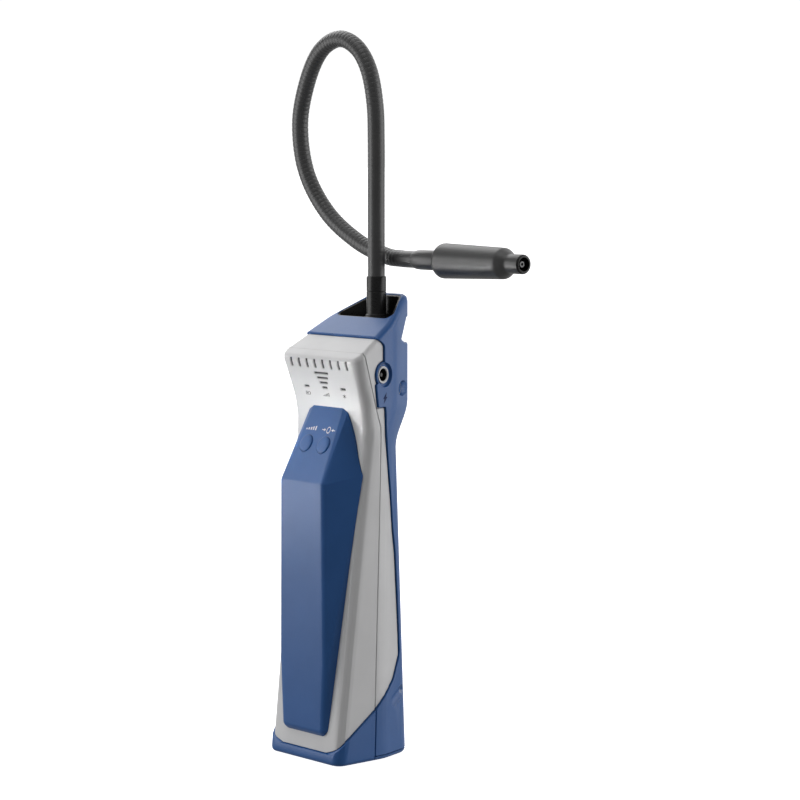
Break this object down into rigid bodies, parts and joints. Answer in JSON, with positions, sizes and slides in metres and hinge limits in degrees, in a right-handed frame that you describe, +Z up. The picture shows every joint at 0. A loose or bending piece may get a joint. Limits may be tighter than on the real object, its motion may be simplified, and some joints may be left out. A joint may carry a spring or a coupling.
{
  "type": "handheld refrigerant leak detector",
  "caption": "Upright handheld refrigerant leak detector: a two-tone case with a soft grip, a sloping light panel and keys, and a sniffing probe on a bendable gooseneck.",
  "frame": {"origin": "middle of the base, on the surface it stands on", "axes": "+Z up the handle; -Y is the front with the grip and light panel; +X is the side with the charging jack and the way the probe points"},
  "size_m": [0.1794, 0.0712, 0.3805],
  "materials": {
    "case_plastic": "fine matt",
    "soft_blue": "satin soft-touch",
    "button_blue": "satin",
    "black_plastic": "satin",
    "black_rubber": "matt",
    "neck_sheath": "ribbed, satin",
    "dark_plastic": "fine matt",
    "lens": "smoked, glossy",
    "steel": "bright",
    "circuit_board": "solder mask",
    "clear_tube": "smooth",
    "battery_wrap": "shrink wrap",
    "filter_felt": "felt"
  },
  "bodies": {
    "case": {"front_shell": "case_plastic", "front_boot": "soft_blue", "grip_pad": "soft_blue", "switch_board": "circuit_board", "key_switches": "black_plastic", "level_lens": "lens", "status_lens": "lens", "light_board": "circuit_board", "rear_shell": "case_plastic", "rear_skin": "soft_blue", "well_liner": "black_plastic", "hose_collar": "black_plastic", "collar_sleeve": "black_rubber", "collar_nut": "steel", "gooseneck": "neck_sheath", "sample_tube": "clear_tube", "pump_head": "dark_plastic", "pump_motor": "steel", "main_board": "circuit_board", "sounder": "black_plastic", "battery_stick": "battery_wrap", "battery_contact": "steel", "case_screws": "steel", "jack_socket": "black_plastic", "jack_ring": "steel", "probe_cuff": "black_rubber", "probe_boot": "dark_plastic", "infrared_cell": "steel", "filter_disc": "filter_felt", "inlet_tube": "steel"},
    "mode_button": {"mode_button": "button_blue"},
    "zero_button": {"zero_button": "button_blue"},
    "battery_door": {"battery_door": "soft_blue"}
  },
  "joints": [
    {"name": "mode_press", "type": "slide", "parent": "case", "child": "mode_button", "axis": [0, 0.8994, -0.4371], "range_m": [0, 0.0008], "stiffness_N_per_m": 1500},
    {"name": "zero_press", "type": "slide", "parent": "case", "child": "zero_button", "axis": [0, 0.8994, -0.4371], "range_m": [0, 0.0008], "stiffness_N_per_m": 1500},
    {"name": "door_slide", "type": "slide", "parent": "case", "child": "battery_door", "axis": [0, 1, 0], "range_m": [0, 0.009]}
  ]
}
